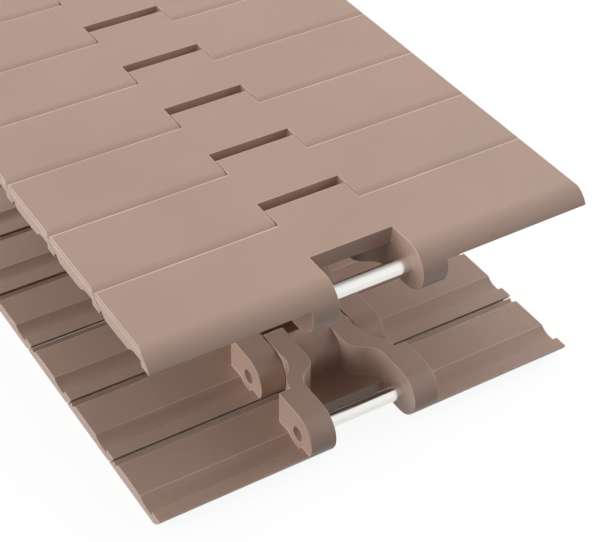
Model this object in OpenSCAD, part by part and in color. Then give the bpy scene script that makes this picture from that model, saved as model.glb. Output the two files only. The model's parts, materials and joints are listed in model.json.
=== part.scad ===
// Straight-running slat top chain, two open lengths of moulded slats on steel pins.
// One length lies with its carrying face up, the other is turned over below it.
// X runs across the chain, Y along it (fork end at -Y), Z up.
// The origin is at the middle of the chain's length and width, on the ground.

/* [Chain] */
// Distance from one hinge pin to the next
pitch = 38.1; // [36:0.1:44]
// Width of a slat across the conveyor
slat_width = 190.5; // [114.3:0.1:304.8]
// Height of the upper length's carrying face over the ground
carry_height = 86; // [80:0.5:160]

/* [Slat plate] */
// Depth of the pin's axis below the carrying face, also the radius of the rounded nose
pin_depth = 10.5; // [9.5:0.1:12]
// Thickness of the flat part of the slat's wings
plate_thickness = 6.3; // [5:0.1:8]
// Depth of the thin lip of the nose below the carrying face
lip_depth = 6.4; // [5:0.1:7]
// Thickness left over the groove behind the lip
groove_thickness = 3.9; // [2.5:0.1:4.5]
// Length of the lip's flat underside
lip_length = 6.2; // [3:0.1:7]
// How far the flat bottom of the groove reaches behind the pin's axis
groove_flat = 1; // [0:0.1:2]
// How far the groove's cove reaches behind the pin's axis
groove_reach = 6.2; // [4:0.1:8]
// Chamfer under the far edge of the slat
edge_chamfer = 2.6; // [1:0.1:4]
// Bevel along the ends of the slat's carrying face
end_bevel = 0.8; // [0.3:0.1:2]

/* [Hinge] */
// Width of the centre knuckle
knuckle_width = 36; // [30:0.1:44]
// Width over the two ears of the fork
fork_width = 59.4; // [54:0.1:70]
// How far the shoulder of an ear lies behind the pin's axis
ear_length = 14; // [11:0.1:17]
// Width of the neck that carries the ears, where it meets the knuckle
neck_width = 35; // [30:0.1:40]
// Width of the neck at the shoulder of the ears
shoulder_width = 49; // [44:0.1:54]
// Width of the tooth pocket between the neck's straight walls
pocket_width = 17; // [14:0.1:24]
// Length of the neck's straight walls before the next pin
neck_length = 8.1; // [7:0.1:10]
// Where the tooth pocket starts to narrow, behind the pin's axis
flare_start = 12; // [11:0.1:14]
// Where the tooth pocket is down to its straight walls, behind the pin's axis
flare_end = 27; // [24:0.1:29]
// How far the square heel of the neck's walls reaches past the next pin
heel_reach = 9.8; // [8:0.1:10]
// Rounding of the heel's corner
heel_round = 2; // [1:0.1:3]
// How far the flat top of the knuckle reaches past its pin
tab_reach = 7.2; // [5:0.1:7.6]
// Rounding at the end of the knuckle's flat top
tab_round = 2.4; // [1:0.1:2.6]
// Height of the small rim at the open end of the tooth pocket
rim_height = 1.2; // [0.6:0.1:2]
// Width of that rim
rim_width = 2.2; // [1:0.1:3]

/* [Pins] */
// Diameter of the hinge pin
pin_diameter = 6.35; // [5:0.05:8]
// How deep each end of a pin lies inside its ear
pin_recess = 3; // [0.5:0.1:4]
// Chamfer on the ends of a pin
pin_chamfer = 0.6; // [0.3:0.1:1]

/* [Fits] */
// Gap between the nose and the edge of the next slat
seam_gap = 0.6; // [0.4:0.05:0.9]
// Gap on each side of the knuckle in its fork
side_gap = 0.3; // [0.2:0.05:0.6]
// Gap between the knuckle's round and the wall of the notch
notch_gap = 0.5; // [0.3:0.05:1]
// Radial running clearance of a pin in the centre knuckle
pin_clearance = 0.075; // [0.02:0.005:0.1]
// Radial interference of a pin in the ears that hold it
pin_press = 0.02; // [0.01:0.005:0.04]

/* [Hidden] */
$fn = 96;

slats = 7;                                  // slats in one length
hinge_radius = pin_depth;                   // the round of ears, knuckle and nose
edge_radius = hinge_radius + seam_gap;      // hollow of the far edge round the next nose
notch_reach = hinge_radius + notch_gap;     // from the pin to the wall of the notch
notch_width = knuckle_width + 2 * side_gap;
lip_z = pin_depth - lip_depth;              // underside of the lip, from the pin's axis
lip_tip = -sqrt(pow(hinge_radius, 2) - pow(lip_z, 2));
wing_z = pin_depth - plate_thickness;       // underside of the wings, from the pin's axis
groove_z = pin_depth - groove_thickness;
lip_end = lip_tip + lip_length;             // step between the lip and the groove
groove_run = groove_reach - groove_flat;
groove_rise = groove_z - wing_z;
groove_radius = (pow(groove_run, 2) + pow(groove_rise, 2)) / (2 * groove_rise);
neck_start = pitch - neck_length;            // where the neck's straight walls begin
pin_length = fork_width - 2 * pin_recess;
over = 1;                                   // overrun of a cut past the solid
near_end = hinge_radius;                    // from the first pin to the near end
far_end = (slats * pitch) + hinge_radius;   // from the first pin to the far end
first_pin_y = -(far_end - near_end) / 2;

// Side profile of the wings, seen along X: x is along the chain, y is up
module wing_profile() {
    difference() {
        union() {
            // flat slab, and the nose that is tangent to its top
            translate([0, wing_z]) square([pitch, plate_thickness]);
            intersection() {
                circle(r = hinge_radius);
                translate([-hinge_radius, lip_z]) square([hinge_radius + over, lip_depth]);
            }
        }
        // groove behind the lip, with the small step where the lip starts
        groove();
        // hollow of the far edge, and the chamfer under it
        translate([pitch, 0]) circle(r = edge_radius);
        translate([pitch - edge_radius, wing_z])
            rotate(45) square(edge_chamfer * sqrt(2), center = true);
    }
}

// Hollow under the nose: flat behind the lip's small step, then a cove up to the slab
module groove() {
    translate([lip_end, wing_z - over])
        square([groove_flat - lip_end + 0.1, groove_rise + over]);
    translate([groove_flat, groove_z - groove_radius])
        intersection() {
            circle(r = groove_radius);
            translate([0, groove_radius - groove_rise - over])
                square([groove_run + over, groove_rise + over]);
        }
}

// Side profile of an ear: round about the pin, flat below, with a square shoulder
module ear_profile() {
    intersection() {
        union() {
            circle(r = hinge_radius);
            translate([0, -hinge_radius]) square([ear_length, 2 * hinge_radius]);
        }
        translate([-hinge_radius, -hinge_radius])
            square([2 * hinge_radius + ear_length, hinge_radius + pin_depth]);
    }
}

// Side profile of the neck's walls under the slab, with the heel past the next pin
module neck_profile() {
    translate([0, -hinge_radius]) square([pitch, hinge_radius + groove_z]);
    translate([pitch, -hinge_radius]) hull() {
        translate([-over, 0]) square([over, hinge_radius - heel_round]);
        translate([heel_reach - heel_round, heel_round]) circle(r = heel_round);
        translate([heel_reach - heel_round, 0]) translate([0, heel_round])
            square([heel_round, hinge_radius - 2 * heel_round]);
    }
}

// Side profile of the centre knuckle: round about the next pin, with its flat top
module knuckle_profile() {
    translate([pitch, 0]) {
        circle(r = hinge_radius);
        hull() {
            translate([-edge_radius - over, wing_z])
                square([edge_radius + over, plate_thickness]);
            translate([0, wing_z]) square([tab_reach, plate_thickness - tab_round]);
            translate([tab_reach - tab_round, pin_depth - tab_round]) circle(r = tab_round);
        }
    }
}

// Plan outline of one side of a wall that swings from half-width a to half-width b
// between y = from and y = to, as two equal arcs, filled in to the centre line
function swing_radius(a, b, from, to) =
    (pow(b - a, 2) + pow(to - from, 2)) / (4 * abs(b - a));

module swing(a, b, from, to) {
    r = swing_radius(a, b, from, to);
    mid_x = (a + b) / 2;
    mid_y = (from + to) / 2;
    // wide half: filled up to the arc that is tangent at b
    intersection() {
        translate([0, from]) square([b, mid_y - from]);
        union() {
            translate([0, from]) square([mid_x, mid_y - from]);
            translate([b - r, from]) circle(r = r);
        }
    }
    // narrow half: the arc that is tangent at a is cut away
    difference() {
        translate([0, mid_y]) square([mid_x, to - mid_y]);
        translate([a + r, to]) circle(r = r);
    }
}

// Plan of the neck's outer sides
module neck_plan() {
    for (side = [0, 1]) mirror([side, 0]) {
        translate([0, neck_start]) square([neck_width / 2, pitch + hinge_radius - neck_start]);
        swing(neck_width / 2, shoulder_width / 2, ear_length, neck_start);
        square([shoulder_width / 2, ear_length]);
    }
}

// Plan of the hollow between the walls: fork gap, flare, and the tooth pocket that
// runs on past the barrel of the knuckle
module hollow_plan() {
    for (side = [0, 1]) mirror([side, 0]) {
        translate([0, flare_end - 0.1])
            square([pocket_width / 2, pitch + hinge_radius + over - flare_end]);
        swing(pocket_width / 2, notch_width / 2, flare_start, flare_end);
        translate([0, -hinge_radius - over])
            square([notch_width / 2, flare_start + hinge_radius + over]);
    }
}

// Solid of a side profile, centred across the chain
module across(width) {
    rotate([90, 0, 90]) translate([0, 0, -width / 2])
        linear_extrude(height = width) children();
}

// One moulded slat, its own pin along X at the origin
module slat() {
    difference() {
        union() {
            across(slat_width) wing_profile();
            // ears and neck, open between them
            difference() {
                union() {
                    across(fork_width) ear_profile();
                    intersection() {
                        across(fork_width) neck_profile();
                        translate([0, 0, -hinge_radius])
                            linear_extrude(height = 2 * hinge_radius) neck_plan();
                    }
                }
                translate([0, 0, -hinge_radius - over])
                    linear_extrude(height = hinge_radius + over + wing_z) hollow_plan();
            }
            across(knuckle_width) knuckle_profile();
            // rim at the open end of the pocket
            translate([-notch_width / 2, notch_reach, wing_z - rim_height])
                cube([notch_width, rim_width, rim_height]);
        }
        // notch that the next knuckle fills
        translate([-notch_width / 2, -hinge_radius - over, -hinge_radius - over])
            cube([notch_width, hinge_radius + over + notch_reach, 2 * hinge_radius + 2 * over]);
        // press bore of the ears and running bore of the knuckle
        rotate([0, 90, 0])
            cylinder(r = pin_diameter / 2 - pin_press, h = fork_width + 2 * over, center = true);
        translate([0, pitch, 0]) rotate([0, 90, 0])
            cylinder(r = pin_diameter / 2 + pin_clearance, h = knuckle_width + 2 * over, center = true);
        // bevels along both ends of the carrying face
        for (side = [-1, 1])
            translate([side * slat_width / 2, pitch / 2, pin_depth]) rotate([0, 45, 0])
                cube([end_bevel * sqrt(2), 2 * pitch + 2 * hinge_radius, end_bevel * sqrt(2)],
                     center = true);
    }
}

// One hinge pin with chamfered ends, along X
module pin() {
    rotate([0, 90, 0]) {
        cylinder(d = pin_diameter, h = pin_length - 2 * pin_chamfer, center = true);
        for (side = [0, 1]) mirror([0, 0, side])
            translate([0, 0, pin_length / 2 - pin_chamfer])
                cylinder(d1 = pin_diameter, d2 = pin_diameter - 2 * pin_chamfer, h = pin_chamfer);
    }
}

// Place of piece number i of the upper length, carrying face up
module upper_place(i) {
    translate([0, first_pin_y + (i - 1) * pitch, carry_height - pin_depth]) children();
}

// Place of piece number i of the lower length, carrying face on the ground
module lower_place(i) {
    translate([0, first_pin_y + (i - 1) * pitch, pin_depth]) rotate([0, 180, 0]) children();
}

module upper_slat(i) { color("#b2998a") upper_place(i) slat(); }
module upper_pin(i) { color("#d8d8d6") upper_place(i) pin(); }
module lower_slat(i) { color("#9c8375") lower_place(i) slat(); }
module lower_pin(i) { color("#d8d8d6") lower_place(i) pin(); }

upper_slat(1);  // upper_slat_1
upper_slat(2);  // upper_slat_2
upper_slat(3);  // upper_slat_3
upper_slat(4);  // upper_slat_4
upper_slat(5);  // upper_slat_5
upper_slat(6);  // upper_slat_6
upper_slat(7);  // upper_slat_7
upper_pin(1);  // upper_pin_1
upper_pin(2);  // upper_pin_2
upper_pin(3);  // upper_pin_3
upper_pin(4);  // upper_pin_4
upper_pin(5);  // upper_pin_5
upper_pin(6);  // upper_pin_6
upper_pin(7);  // upper_pin_7
lower_slat(1);  // lower_slat_1
lower_slat(2);  // lower_slat_2
lower_slat(3);  // lower_slat_3
lower_slat(4);  // lower_slat_4
lower_slat(5);  // lower_slat_5
lower_slat(6);  // lower_slat_6
lower_slat(7);  // lower_slat_7
lower_pin(1);  // lower_pin_1
lower_pin(2);  // lower_pin_2
lower_pin(3);  // lower_pin_3
lower_pin(4);  // lower_pin_4
lower_pin(5);  // lower_pin_5
lower_pin(6);  // lower_pin_6
lower_pin(7);  // lower_pin_7
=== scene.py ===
"""Finish of a straight-running slat top chain: moulded slats, ground pins, and the stage."""

import json
import math

import bpy
from mathutils import Matrix, Vector

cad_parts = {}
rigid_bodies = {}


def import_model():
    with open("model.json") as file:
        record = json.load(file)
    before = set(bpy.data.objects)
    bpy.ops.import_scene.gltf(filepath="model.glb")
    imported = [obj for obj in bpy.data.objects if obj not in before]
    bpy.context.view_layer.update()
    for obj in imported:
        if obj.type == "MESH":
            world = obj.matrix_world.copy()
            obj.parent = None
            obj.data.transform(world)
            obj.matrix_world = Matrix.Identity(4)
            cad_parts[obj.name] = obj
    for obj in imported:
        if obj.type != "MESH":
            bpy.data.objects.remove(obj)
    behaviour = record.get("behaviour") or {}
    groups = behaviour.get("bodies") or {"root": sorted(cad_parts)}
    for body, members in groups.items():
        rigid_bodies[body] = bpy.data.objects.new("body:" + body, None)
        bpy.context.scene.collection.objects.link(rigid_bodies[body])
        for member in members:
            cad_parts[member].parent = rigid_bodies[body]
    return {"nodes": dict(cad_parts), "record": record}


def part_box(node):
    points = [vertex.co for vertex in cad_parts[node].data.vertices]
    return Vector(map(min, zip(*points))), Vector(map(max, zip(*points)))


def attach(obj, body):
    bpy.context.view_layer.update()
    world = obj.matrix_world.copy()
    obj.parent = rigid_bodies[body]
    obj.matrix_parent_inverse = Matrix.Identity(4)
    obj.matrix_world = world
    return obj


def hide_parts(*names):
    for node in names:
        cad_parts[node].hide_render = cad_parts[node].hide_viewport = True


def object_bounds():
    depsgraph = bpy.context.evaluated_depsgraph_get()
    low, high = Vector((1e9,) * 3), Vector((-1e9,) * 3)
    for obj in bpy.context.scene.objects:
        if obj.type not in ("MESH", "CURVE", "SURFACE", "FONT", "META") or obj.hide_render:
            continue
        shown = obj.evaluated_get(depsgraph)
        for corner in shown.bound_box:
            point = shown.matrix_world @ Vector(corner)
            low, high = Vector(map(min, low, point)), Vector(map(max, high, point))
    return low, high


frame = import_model()
CAD_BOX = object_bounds()
BODY_OF = {
    node: body
    for body, nodes in frame["record"]["behaviour"]["bodies"].items()
    for node in nodes
}

bl_info = {
    "name": "Slat top chain finish",
    "version": (1, 0, 0),
    "blender": (4, 5, 0),
    "location": "View3D > Sidebar > Chain",
    "description": "Moulds, edges and lights a slat top chain around its packed frame",
    "category": "Object",
}

MM = 0.001

# how the solids' triangles become clean faces, and how those are shaded
WELD = 0.002 * MM
SAME_PLANE = math.radians(0.6)
SLAT_SMOOTH = math.radians(40)
PIN_SMOOTH = math.radians(30)
# how sharply the side light and the dark card fall off around their middles
SIDE_FALL = 4.0
CARD_FALL = 4.0


def linear(hex_colour):
    """Linear RGBA of an sRGB hex colour such as #b49b8e."""
    channels = [int(hex_colour[i : i + 2], 16) / 255 for i in (1, 3, 5)]
    return (
        *[c / 12.92 if c <= 0.04045 else ((c + 0.055) / 1.055) ** 2.4 for c in channels],
        1.0,
    )


class SlatFinish(bpy.types.PropertyGroup):
    """Sizes and colours of the moulded slats."""

    edge_radius: bpy.props.FloatProperty(
        name="Edge radius",
        description="Rounding that the mould leaves on the slat's edges",
        default=0.25 * MM,
        min=0.1 * MM,
        max=0.8 * MM,
        subtype="DISTANCE",
        unit="LENGTH",
    )
    lead_run: bpy.props.FloatProperty(
        name="Lead-off run",
        description="How far in from the far edge the carrying face starts to fall away",
        default=2.0 * MM,
        subtype="DISTANCE",
        unit="LENGTH",
    )
    lead_angle: bpy.props.FloatProperty(
        name="Lead-off angle",
        description="Slope of that fall, which keeps products from catching at the seam",
        default=math.radians(16),
        subtype="ANGLE",
        unit="ROTATION",
    )
    sharp_angle: bpy.props.FloatProperty(
        name="Sharp angle",
        description="Edges that fold more than this are rounded",
        default=math.radians(28),
        subtype="ANGLE",
        unit="ROTATION",
    )
    colour: bpy.props.FloatVectorProperty(
        name="Acetal colour",
        description="Colour of the pigmented acetal",
        default=linear("#b6998a"),
        size=4,
        subtype="COLOR",
    )
    cloud_colour: bpy.props.FloatVectorProperty(
        name="Cloud colour",
        description="Slightly browner colour where the pigment gathers",
        default=linear("#b29688"),
        size=4,
        subtype="COLOR",
    )
    # painted highlight: a lighter acetal colour for the rounded edges and the far-edge slopes
    edge_highlight_colour: bpy.props.FloatVectorProperty(
        name="Edge colour",
        description="Painted highlight: lighter colour of the acetal on its rounded edges and seam slopes",
        default=linear("#e2cbbe"),
        size=4,
        subtype="COLOR",
    )
    cloud_size: bpy.props.FloatProperty(
        name="Cloud size",
        description="Distance across one soft cloud of pigment",
        default=34 * MM,
        subtype="DISTANCE",
        unit="LENGTH",
    )
    grain_size: bpy.props.FloatProperty(
        name="Mould grain",
        description="Distance between the peaks that the eroded mould leaves",
        default=0.5 * MM,
        subtype="DISTANCE",
        unit="LENGTH",
    )


class PinFinish(bpy.types.PropertyGroup):
    """Sizes and colours of the steel pins."""

    end_dome: bpy.props.FloatProperty(
        name="End dome",
        description="How far the crowned end of a pin stands out of its flat",
        default=0.35 * MM,
        subtype="DISTANCE",
        unit="LENGTH",
    )
    colour: bpy.props.FloatVectorProperty(
        name="Steel colour",
        description="Reflected colour of the ground stainless steel",
        default=linear("#e6e4e1"),
        size=4,
        subtype="COLOR",
    )
    grind_pitch: bpy.props.FloatProperty(
        name="Grinding marks",
        description="Distance between the rings that centreless grinding leaves",
        default=0.35 * MM,
        subtype="DISTANCE",
        unit="LENGTH",
    )


class StageSettings(bpy.types.PropertyGroup):
    """Camera and lights."""

    lens: bpy.props.FloatProperty(
        name="Lens", description="Focal length of the camera in millimetres", default=99.65
    )
    eye: bpy.props.FloatVectorProperty(
        name="Camera place",
        description="Where the camera stands",
        default=(-270.8 * MM, -525.2 * MM, 465.5 * MM),
        size=3,
        subtype="TRANSLATION",
        unit="LENGTH",
    )
    look: bpy.props.FloatVectorProperty(
        name="Camera direction",
        description="Direction that the camera looks in",
        default=(0.40763, 0.66074, -0.63029),
        size=3,
        subtype="DIRECTION",
    )
    upright: bpy.props.FloatVectorProperty(
        name="Camera up",
        description="Direction that is up in the view",
        default=(0.32464, 0.54028, 0.77634),
        size=3,
        subtype="DIRECTION",
    )
    floor_shade: bpy.props.FloatVectorProperty(
        name="Floor shade",
        description="What the lit floor adds to its own white, and a shadow takes away",
        default=linear("#656564"),
        size=4,
        subtype="COLOR",
    )
    floor_return: bpy.props.FloatVectorProperty(
        name="Floor return",
        description="How much light the floor sends back up at the chain",
        default=linear("#2e2d2c"),
        size=4,
        subtype="COLOR",
    )
    page_level: bpy.props.FloatProperty(
        name="Page level",
        description="Level of the floor's own white, as the camera sees it",
        default=0.91,
    )
    key_power: bpy.props.FloatProperty(
        name="Key power",
        description="Power of the large soft lamp high up behind, in watts",
        default=6.5,
    )
    side_power: bpy.props.FloatProperty(
        name="Side power",
        description="Power of the soft lamp in front on the right, in watts",
        default=1.1,
    )
    dome_even: bpy.props.FloatProperty(
        name="Even light",
        description="Part of the dome's light that comes equally from all round",
        default=0.02,
    )
    dome_top: bpy.props.FloatProperty(
        name="Top light",
        description="Part of the dome's light that grows towards its bright spot",
        default=0.33,
    )
    dome_spot: bpy.props.FloatVectorProperty(
        name="Bright spot",
        description="Direction of the bright spot, high up and behind the chain",
        default=(0.0, 0.7, 0.71),
        size=3,
        subtype="DIRECTION",
    )
    dome_sides: bpy.props.FloatProperty(
        name="Side light",
        description="Part of the dome's light that grows towards its left and right",
        default=4.5,
    )
    dome_lean: bpy.props.FloatProperty(
        name="Lean",
        description="How much more of the side light comes from the right",
        default=0.2,
    )
    dome_back: bpy.props.FloatProperty(
        name="Back",
        description="How much more of the side light comes from behind the chain",
        default=3.4,
    )
    card_way: bpy.props.FloatVectorProperty(
        name="Card direction",
        description="Where the dark card behind the chain stands, for reflections only",
        default=(0.41, 0.66, 0.63),
        size=3,
        subtype="DIRECTION",
    )
    card_depth: bpy.props.FloatProperty(
        name="Card depth",
        description="How dark the middle of the card is",
        default=0.7,
        min=0.0,
        max=1.0,
    )
    card_sides: bpy.props.FloatProperty(
        name="Bright sides",
        description="How much brighter reflections are to the left and right",
        default=3.0,
    )


def only_select(*objects):
    """Select these objects and nothing else, the first one active."""
    bpy.ops.object.select_all(action="DESELECT")
    for one in objects:
        one.select_set(True)
    bpy.context.view_layer.objects.active = objects[0]


def add_node(owner, kind, inputs=(), links=(), **settings):
    """Add a shader node, set its inputs by name, and link (socket, node, output) into it."""
    node = owner.node_tree.nodes.new(kind)
    for name, value in settings.items():
        setattr(node, name, value)
    for name, value in dict(inputs).items():
        node.inputs[name].default_value = value
    for name, source, output in links:
        owner.node_tree.links.new(source.outputs[output], node.inputs[name])
    return node


def new_material(name):
    """An empty node material and its output node."""
    material = bpy.data.materials.new(name)
    material.use_nodes = True
    material.node_tree.nodes.clear()
    return material, material.node_tree.nodes.new("ShaderNodeOutputMaterial")


def painted_highlight_acetal(settings):
    """The same acetal with a painted highlight on it: lighter, and slicker."""
    material, output = new_material("acetal_edges_painted_highlight")
    place = add_node(material, "ShaderNodeTexCoord")
    highlight_patches = add_node(
        material,
        "ShaderNodeTexNoise",
        inputs={"Scale": 1 / settings.cloud_size, "Detail": 3.0},
        links=[("Vector", place, "Object")],
    )
    # painted highlight: the lighter edge colour mixed into the acetal colour in soft patches
    highlight_tint = add_node(
        material,
        "ShaderNodeMix",
        data_type="RGBA",
        links=[("Factor", highlight_patches, "Fac")],
    )
    highlight_tint.inputs["A"].default_value = settings.edge_highlight_colour
    highlight_tint.inputs["B"].default_value = settings.colour
    plastic = add_node(
        material,
        "ShaderNodeBsdfPrincipled",
        inputs={"IOR": 1.48, "Roughness": 0.28},
        links=[("Base Color", highlight_tint, "Result")],
    )
    material.node_tree.links.new(plastic.outputs["BSDF"], output.inputs["Surface"])
    return material


def moulded_acetal(settings):
    """Injection-moulded acetal: a waxy, even satin with faint clouds of pigment.

    The light goes a little way in, so edges look soft, and the eroded mould
    leaves a grain that only spreads the highlights.
    """
    material, output = new_material("moulded_acetal_beige")
    place = add_node(material, "ShaderNodeTexCoord")
    clouds = add_node(
        material,
        "ShaderNodeTexNoise",
        inputs={"Scale": 1 / settings.cloud_size, "Detail": 2.0, "Roughness": 0.45},
        links=[("Vector", place, "Object")],
    )
    soft = add_node(
        material,
        "ShaderNodeMapRange",
        inputs={"From Min": 0.35, "From Max": 0.68},
        links=[("Value", clouds, "Fac")],
    )
    tint = add_node(
        material,
        "ShaderNodeMix",
        data_type="RGBA",
        links=[("Factor", soft, "Result")],
    )
    tint.inputs["A"].default_value = settings.colour
    tint.inputs["B"].default_value = settings.cloud_colour
    # mould grain: about half a millimetre, the finest that still shows close up
    grain = add_node(
        material,
        "ShaderNodeTexNoise",
        inputs={"Scale": 1 / settings.grain_size, "Detail": 3.0, "Roughness": 0.6},
        links=[("Vector", place, "Object")],
    )
    satin = add_node(
        material,
        "ShaderNodeMapRange",
        inputs={"To Min": 0.34, "To Max": 0.44},
        links=[("Value", grain, "Fac")],
    )
    relief = add_node(
        material,
        "ShaderNodeBump",
        inputs={"Strength": 0.10, "Distance": 0.02 * MM},
        links=[("Height", grain, "Fac")],
    )
    plastic = add_node(
        material,
        "ShaderNodeBsdfPrincipled",
        inputs={
            "IOR": 1.48,
            "Subsurface Weight": 0.06,
            "Subsurface Scale": 0.8 * MM,
        },
        links=[
            ("Base Color", tint, "Result"),
            ("Roughness", satin, "Result"),
            ("Normal", relief, "Normal"),
        ],
    )
    material.node_tree.links.new(plastic.outputs["BSDF"], output.inputs["Surface"])
    return material


def ground_stainless(settings):
    """Centreless-ground stainless steel: bright, with fine rings round the pin."""
    material, output = new_material("ground_stainless_steel")
    place = add_node(material, "ShaderNodeTexCoord")
    rings = add_node(
        material,
        "ShaderNodeTexWave",
        wave_type="BANDS",
        bands_direction="X",
        inputs={
            "Scale": 1 / settings.grind_pitch / 20,
            "Distortion": 3.0,
            "Detail": 3.0,
            "Detail Scale": 2.0,
        },
        links=[("Vector", place, "Object")],
    )
    polish = add_node(
        material,
        "ShaderNodeMapRange",
        inputs={"To Min": 0.17, "To Max": 0.185},
        links=[("Value", rings, "Fac")],
    )
    steel = add_node(
        material,
        "ShaderNodeBsdfPrincipled",
        inputs={"Base Color": settings.colour, "Metallic": 1.0},
        links=[("Roughness", polish, "Result")],
    )
    material.node_tree.links.new(steel.outputs["BSDF"], output.inputs["Surface"])
    return material


def shared_material(name, maker, settings):
    """The material of that name, made on its first use."""
    return bpy.data.materials.get(name) or maker(settings)


def give_material(piece, *materials):
    """Set the piece's materials; its faces use the first unless they are told otherwise."""
    piece.data.materials.clear()
    for material in materials:
        piece.data.materials.append(material)


def give_acetal(piece, settings):
    """Acetal in the first slot, its painted edge highlight in the second."""
    give_material(
        piece,
        shared_material("moulded_acetal_beige", moulded_acetal, settings),
        shared_material("acetal_edges_painted_highlight", painted_highlight_acetal, settings),
    )


def ease_far_edge(piece, top, settings):
    """Slope the far edge of both wings off, from the carrying face down to the seam.

    top is +1 where the carrying face is up, -1 where the slat is turned over.
    """
    corners = [v.co for v in piece.data.vertices]
    face = max(top * v.z for v in corners)
    flat = [v for v in corners if top * v.z > face - 0.01 * MM]
    side = max(abs(v.x) for v in flat)
    far = max(v.y for v in flat if abs(v.x) > side / 2)
    knuckle = max(abs(v.x) for v in flat if v.y > far + 1 * MM)
    # a tilted block for each wing, whose lower face is the slope and which
    # reaches a little past the wing everywhere else
    tilt = settings.lead_angle
    along = Vector((0, math.cos(tilt), -top * math.sin(tilt)))
    out = Vector((0, math.sin(tilt), top * math.cos(tilt)))
    start = Vector((0, far - settings.lead_run, top * face))
    spare = 1 * MM
    block = Vector((side - knuckle + 2 * spare, settings.lead_run + 4 * spare, 3 * spare))
    middle = start + along * (block.y / 2 - spare) + out * block.z / 2
    blocks = []
    for sign in (-1, 1):
        x = sign * (knuckle + block.x / 2)
        bpy.ops.mesh.primitive_cube_add(
            size=1,
            location=(x, middle.y, middle.z),
            rotation=(-top * tilt, 0, 0),
            scale=block,
        )
        blocks.append(bpy.context.view_layer.objects.active)
        bpy.ops.object.transform_apply(location=True, rotation=True, scale=True)
    only_select(*blocks)
    bpy.ops.object.join()
    cutter = bpy.context.view_layer.objects.active
    # the slope that it leaves gets the painted edge highlight
    give_acetal(cutter, settings)
    for face in cutter.data.polygons:
        face.material_index = 1
    only_select(piece)
    bpy.ops.object.modifier_add(type="BOOLEAN")
    slope = piece.modifiers[-1]
    slope.operation = "DIFFERENCE"
    slope.solver = "EXACT"
    slope.object = cutter
    bpy.ops.object.modifier_apply(modifier=slope.name)
    only_select(cutter)
    bpy.ops.object.delete()
    only_select(piece)


def moulded_copy(node, settings):
    """A copy of a slat's solid with one clean skin and rounded edges."""
    only_select(frame["nodes"][node])
    bpy.ops.object.duplicate()
    piece = bpy.context.view_layer.objects.active
    piece.name = node + "_moulded"
    piece.data.name = piece.name
    bpy.ops.object.parent_clear(type="CLEAR_KEEP_TRANSFORM")
    for key in [k for k in piece.keys() if k.startswith("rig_")]:
        del piece[key]

    # one skin: weld the triangles, then join those that lie in one plane
    bpy.ops.object.mode_set(mode="EDIT")
    bpy.ops.mesh.select_all(action="SELECT")
    bpy.ops.mesh.customdata_custom_splitnormals_clear()
    bpy.ops.mesh.remove_doubles(threshold=WELD)
    bpy.ops.mesh.dissolve_limited(angle_limit=SAME_PLANE)
    bpy.ops.object.mode_set(mode="OBJECT")

    give_acetal(piece, settings)
    ease_far_edge(piece, 1 if node.startswith("upper") else -1, settings)

    bpy.ops.object.modifier_add(type="BEVEL")
    rounding = piece.modifiers[-1]
    rounding.width = settings.edge_radius
    rounding.segments = 2
    rounding.limit_method = "ANGLE"
    rounding.angle_limit = settings.sharp_angle
    # the rounded edges get the painted edge highlight of the second slot
    rounding.material = 1
    # the clamp would shrink every edge's rounding to suit the shortest edge
    rounding.use_clamp_overlap = False
    rounding.loop_slide = False
    bpy.ops.object.modifier_apply(modifier=rounding.name)
    bpy.ops.object.shade_smooth_by_angle(angle=SLAT_SMOOTH)
    # wide faces keep their own flat shade, so only the rounded edges turn
    bpy.ops.object.modifier_add(type="WEIGHTED_NORMAL")
    piece.modifiers[-1].keep_sharp = True
    bpy.ops.object.modifier_apply(modifier=piece.modifiers[-1].name)
    return piece


def finish_slats(length):
    """Give every slat of one length its moulded skin and finish."""
    settings = bpy.context.scene.slat_finish
    for node in sorted(n for n in frame["nodes"] if n.startswith(length + "_slat_")):
        piece = moulded_copy(node, settings)
        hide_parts(node)
        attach(piece, BODY_OF[node])


def turned_pin(node, settings):
    """A pin turned at its CAD solid's place: a rod with bevelled, crowned ends."""
    low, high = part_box(node)
    centre = (low + high) / 2
    radius = (high.z - low.z) / 2
    length = high.x - low.x
    chamfer = radius / 5
    bpy.ops.mesh.primitive_cylinder_add(
        vertices=64,
        radius=radius,
        depth=length - 2 * (chamfer + settings.end_dome),
        end_fill_type="NGON",
        location=centre,
        rotation=(0, math.pi / 2, 0),
    )
    piece = bpy.context.view_layer.objects.active
    piece.name = node + "_ground"
    piece.data.name = piece.name
    bpy.ops.object.transform_apply(location=True, rotation=True, scale=True)

    bpy.ops.object.mode_set(mode="EDIT")
    bpy.ops.mesh.select_mode(type="FACE")
    for side in (-1, 1):
        # chamfer, then two shallower steps that crown the end
        for step, (out, shrink) in enumerate(
            [
                (chamfer, 1 - chamfer / radius),
                (0.7 * settings.end_dome, 0.62),
                (0.3 * settings.end_dome, 0.3),
            ]
        ):
            bpy.ops.mesh.select_all(action="DESELECT")
            bpy.ops.object.mode_set(mode="OBJECT")
            faces = piece.data.polygons
            end = max(
                (f for f in faces if len(f.vertices) > 4), key=lambda f: side * f.center.x
            )
            end.select = True
            bpy.ops.object.mode_set(mode="EDIT")
            bpy.ops.mesh.extrude_region_move(
                TRANSFORM_OT_translate={"value": (side * out, 0, 0)}
            )
            bpy.ops.transform.resize(
                value=(1, shrink, shrink),
                center_override=(centre.x, centre.y, centre.z),
            )
    bpy.ops.object.mode_set(mode="OBJECT")
    bpy.ops.object.shade_smooth_by_angle(angle=PIN_SMOOTH)
    return piece


class CHAIN_OT_upper_slats(bpy.types.Operator):
    """Mould the slats of the upper length, carrying face up"""

    bl_idname = "slat_chain.upper_slats"
    bl_label = "Upper slats"

    def execute(self, context):
        finish_slats("upper")
        return {"FINISHED"}


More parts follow.
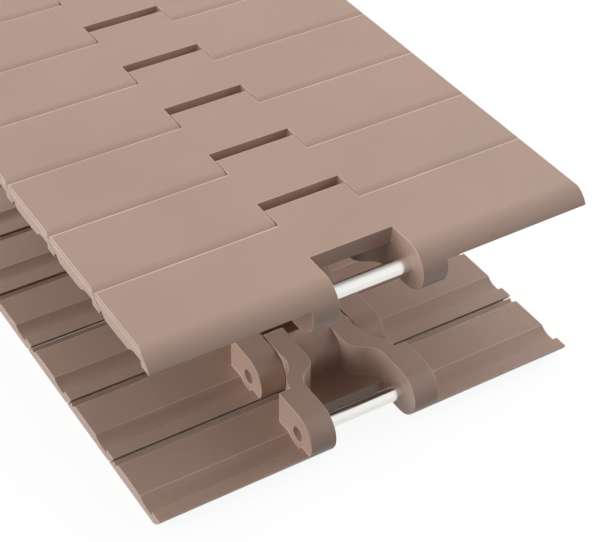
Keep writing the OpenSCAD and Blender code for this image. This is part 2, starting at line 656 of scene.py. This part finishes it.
class CHAIN_OT_lower_slats(bpy.types.Operator):
    """Mould the slats of the lower length, turned over"""

    bl_idname = "slat_chain.lower_slats"
    bl_label = "Lower slats"

    def execute(self, context):
        finish_slats("lower")
        return {"FINISHED"}


class CHAIN_OT_pins(bpy.types.Operator):
    """Turn and grind the hinge pins of both lengths"""

    bl_idname = "slat_chain.pins"
    bl_label = "Pins"

    def execute(self, context):
        settings = context.scene.pin_finish
        for node in sorted(n for n in frame["nodes"] if "_pin_" in n):
            bpy.ops.object.select_all(action="DESELECT")
            piece = turned_pin(node, settings)
            give_material(
                piece,
                shared_material("ground_stainless_steel", ground_stainless, settings),
            )
            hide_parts(node)
            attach(piece, BODY_OF[node])
        return {"FINISHED"}


def studio_floor(settings):
    """Pale matt floor: a white page with a faint shadow, also in reflections.

    To the camera and in reflections most of its white is its own and the rest
    takes the shadow; as a source of light it is only the dim floor return.
    """
    material, output = new_material("pale_matt_floor")
    ray = add_node(material, "ShaderNodeLightPath")
    seen = add_node(
        material,
        "ShaderNodeMath",
        operation="MAXIMUM",
        links=[(0, ray, "Is Camera Ray"), (1, ray, "Is Glossy Ray")],
    )
    shade = add_node(
        material,
        "ShaderNodeMix",
        data_type="RGBA",
        links=[("Factor", seen, "Value")],
    )
    shade.inputs["A"].default_value = settings.floor_return
    shade.inputs["B"].default_value = settings.floor_shade
    matt = add_node(material, "ShaderNodeBsdfDiffuse", links=[("Color", shade, "Result")])
    own = add_node(
        material, "ShaderNodeMath", operation="MULTIPLY", links=[(0, seen, "Value")]
    )
    own.inputs[1].default_value = settings.page_level
    page = add_node(material, "ShaderNodeEmission", links=[("Strength", own, "Value")])
    both = add_node(
        material, "ShaderNodeAddShader", links=[(0, matt, "BSDF"), (1, page, "Emission")]
    )
    material.node_tree.links.new(both.outputs["Shader"], output.inputs["Surface"])
    return material


def studio_dome(settings):
    """World: white to the camera, nearly so in reflections, else a dome with bright sides."""
    world = bpy.data.worlds.new("studio_dome")
    bpy.context.scene.world = world
    world.use_nodes = True
    world.node_tree.nodes.clear()

    def math_node(operation, *values):
        """A Math node whose inputs are numbers or (node, output) pairs."""
        node = add_node(world, "ShaderNodeMath", operation=operation)
        for socket, value in zip(node.inputs, values):
            if isinstance(value, tuple):
                world.node_tree.links.new(value[0].outputs[value[1]], socket)
            else:
                socket.default_value = value
        return node

    way = add_node(world, "ShaderNodeTexCoord")
    parts = add_node(world, "ShaderNodeSeparateXYZ", links=[("Vector", way, "Generated")])

    def nearness(middle):
        """How near a direction is to this one: 1 along it, 0 from a right angle on."""
        along = add_node(
            world,
            "ShaderNodeVectorMath",
            operation="DOT_PRODUCT",
            links=[("Vector", way, "Generated")],
        )
        along.inputs[1].default_value = middle
        return math_node("MAXIMUM", (along, "Value"), 0.0)

    near = nearness(settings.dome_spot)
    top = math_node("MULTIPLY_ADD", (near, "Value"), settings.dome_top, settings.dome_even)
    aside = math_node("ABSOLUTE", (parts, "X"))
    sides = math_node("POWER", (aside, "Value"), SIDE_FALL)
    behind = math_node(
        "MULTIPLY_ADD", (parts, "Y"), settings.dome_back, settings.dome_sides
    )
    lean = math_node("MULTIPLY_ADD", (parts, "X"), settings.dome_lean, (behind, "Value"))
    level = math_node("MULTIPLY_ADD", (sides, "Value"), (lean, "Value"), (top, "Value"))
    # reflections show white, but for a dark card behind the chain that keeps
    # the carrying faces from washing out
    inside = nearness(settings.card_way)
    card = math_node("POWER", (inside, "Value"), CARD_FALL)
    white = math_node("MULTIPLY_ADD", (card, "Value"), -settings.card_depth, 1.0)
    mirrored = math_node(
        "MULTIPLY_ADD", (sides, "Value"), settings.card_sides, (white, "Value")
    )
    ray = add_node(world, "ShaderNodeLightPath")
    lit = add_node(
        world,
        "ShaderNodeMix",
        links=[
            ("Factor", ray, "Is Glossy Ray"),
            ("A", level, "Value"),
            ("B", mirrored, "Value"),
        ],
    )
    pick = add_node(
        world,
        "ShaderNodeMix",
        links=[("Factor", ray, "Is Camera Ray"), ("A", lit, "Result")],
    )
    pick.inputs["B"].default_value = 1.0
    light = add_node(
        world,
        "ShaderNodeBackground",
        inputs={"Color": (1, 1, 1, 1)},
        links=[("Strength", pick, "Result")],
    )
    add_node(world, "ShaderNodeOutputWorld", links=[("Surface", light, "Background")])


def soft_lamp(name, place, aim, side, power):
    """A large square lamp at place that shines at aim."""
    bpy.ops.object.light_add(type="AREA", location=place)
    lamp = bpy.context.view_layer.objects.active
    lamp.name = name
    lamp.data.shape = "SQUARE"
    lamp.data.size = side
    lamp.data.energy = power
    away = lamp.location - aim
    lamp.rotation_mode = "QUATERNION"
    lamp.rotation_quaternion = away.to_track_quat("Z", "Y")
    return lamp


class CHAIN_OT_stage(bpy.types.Operator):
    """Lay the white floor, hang the soft lamps and set up the camera"""

    bl_idname = "slat_chain.stage"
    bl_label = "Stage"

    def execute(self, context):
        settings = context.scene.chain_stage
        low, high = CAD_BOX
        centre = (low + high) / 2
        reach = (high - low).length

        bpy.ops.mesh.primitive_plane_add(
            size=12 * reach, location=(centre.x, centre.y, low.z - 0.2 * MM)
        )
        floor = bpy.context.view_layer.objects.active
        floor.name = "studio_floor"
        bpy.ops.object.transform_apply(location=True, rotation=True, scale=True)
        give_material(floor, studio_floor(settings))

        studio_dome(settings)
        behind = centre + Vector((0.6, 3.0, 2.8)) * reach
        key = soft_lamp("back_soft_lamp", behind, centre, 3.0 * reach, settings.key_power)
        # it lights the chain but doesn't glare on the carrying faces
        key.visible_glossy = False
        front = centre + Vector((2.0, -0.7, 0.5)) * reach
        soft_lamp("front_right_lamp", front, centre, 1.0 * reach, settings.side_power)

        bpy.ops.object.camera_add(location=settings.eye)
        camera = bpy.context.view_layer.objects.active
        camera.name = "catalogue_camera"
        camera.rotation_mode = "QUATERNION"
        look = Vector(settings.look).normalized()
        right = look.cross(Vector(settings.upright)).normalized()
        axes = Matrix((right, right.cross(look), -look)).transposed()
        camera.rotation_quaternion = axes.to_quaternion()
        camera.data.lens = settings.lens
        camera.data.sensor_width = 36.0
        camera.data.clip_start = 0.01
        camera.data.clip_end = 50.0
        context.scene.camera = camera
        context.scene.view_settings.view_transform = "Standard"
        return {"FINISHED"}


class CHAIN_PT_finish(bpy.types.Panel):
    """Buttons and settings for the chain's finish"""

    bl_label = "Slat top chain"
    bl_idname = "CHAIN_PT_finish"
    bl_space_type = "VIEW_3D"
    bl_region_type = "UI"
    bl_category = "Chain"

    def draw(self, context):
        layout = self.layout
        for settings in (
            context.scene.slat_finish,
            context.scene.pin_finish,
            context.scene.chain_stage,
        ):
            box = layout.box()
            for name in settings.__annotations__:
                box.prop(settings, name)
        for operator in OPERATORS:
            layout.operator(operator.bl_idname)


GROUPS = {
    "slat_finish": SlatFinish,
    "pin_finish": PinFinish,
    "chain_stage": StageSettings,
}
OPERATORS = (
    CHAIN_OT_upper_slats,
    CHAIN_OT_lower_slats,
    CHAIN_OT_pins,
    CHAIN_OT_stage,
)


def register():
    for name, group in GROUPS.items():
        bpy.utils.register_class(group)
        setattr(bpy.types.Scene, name, bpy.props.PointerProperty(type=group))
    for operator in OPERATORS:
        bpy.utils.register_class(operator)
    bpy.utils.register_class(CHAIN_PT_finish)


def unregister():
    bpy.utils.unregister_class(CHAIN_PT_finish)
    for operator in reversed(OPERATORS):
        bpy.utils.unregister_class(operator)
    for name, group in reversed(GROUPS.items()):
        delattr(bpy.types.Scene, name)
        bpy.utils.unregister_class(group)


def main():
    """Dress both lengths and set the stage."""
    register()
    bpy.ops.slat_chain.upper_slats()
    bpy.ops.slat_chain.lower_slats()
    bpy.ops.slat_chain.pins()
    bpy.ops.slat_chain.stage()


if __name__ == "__main__":
    main()
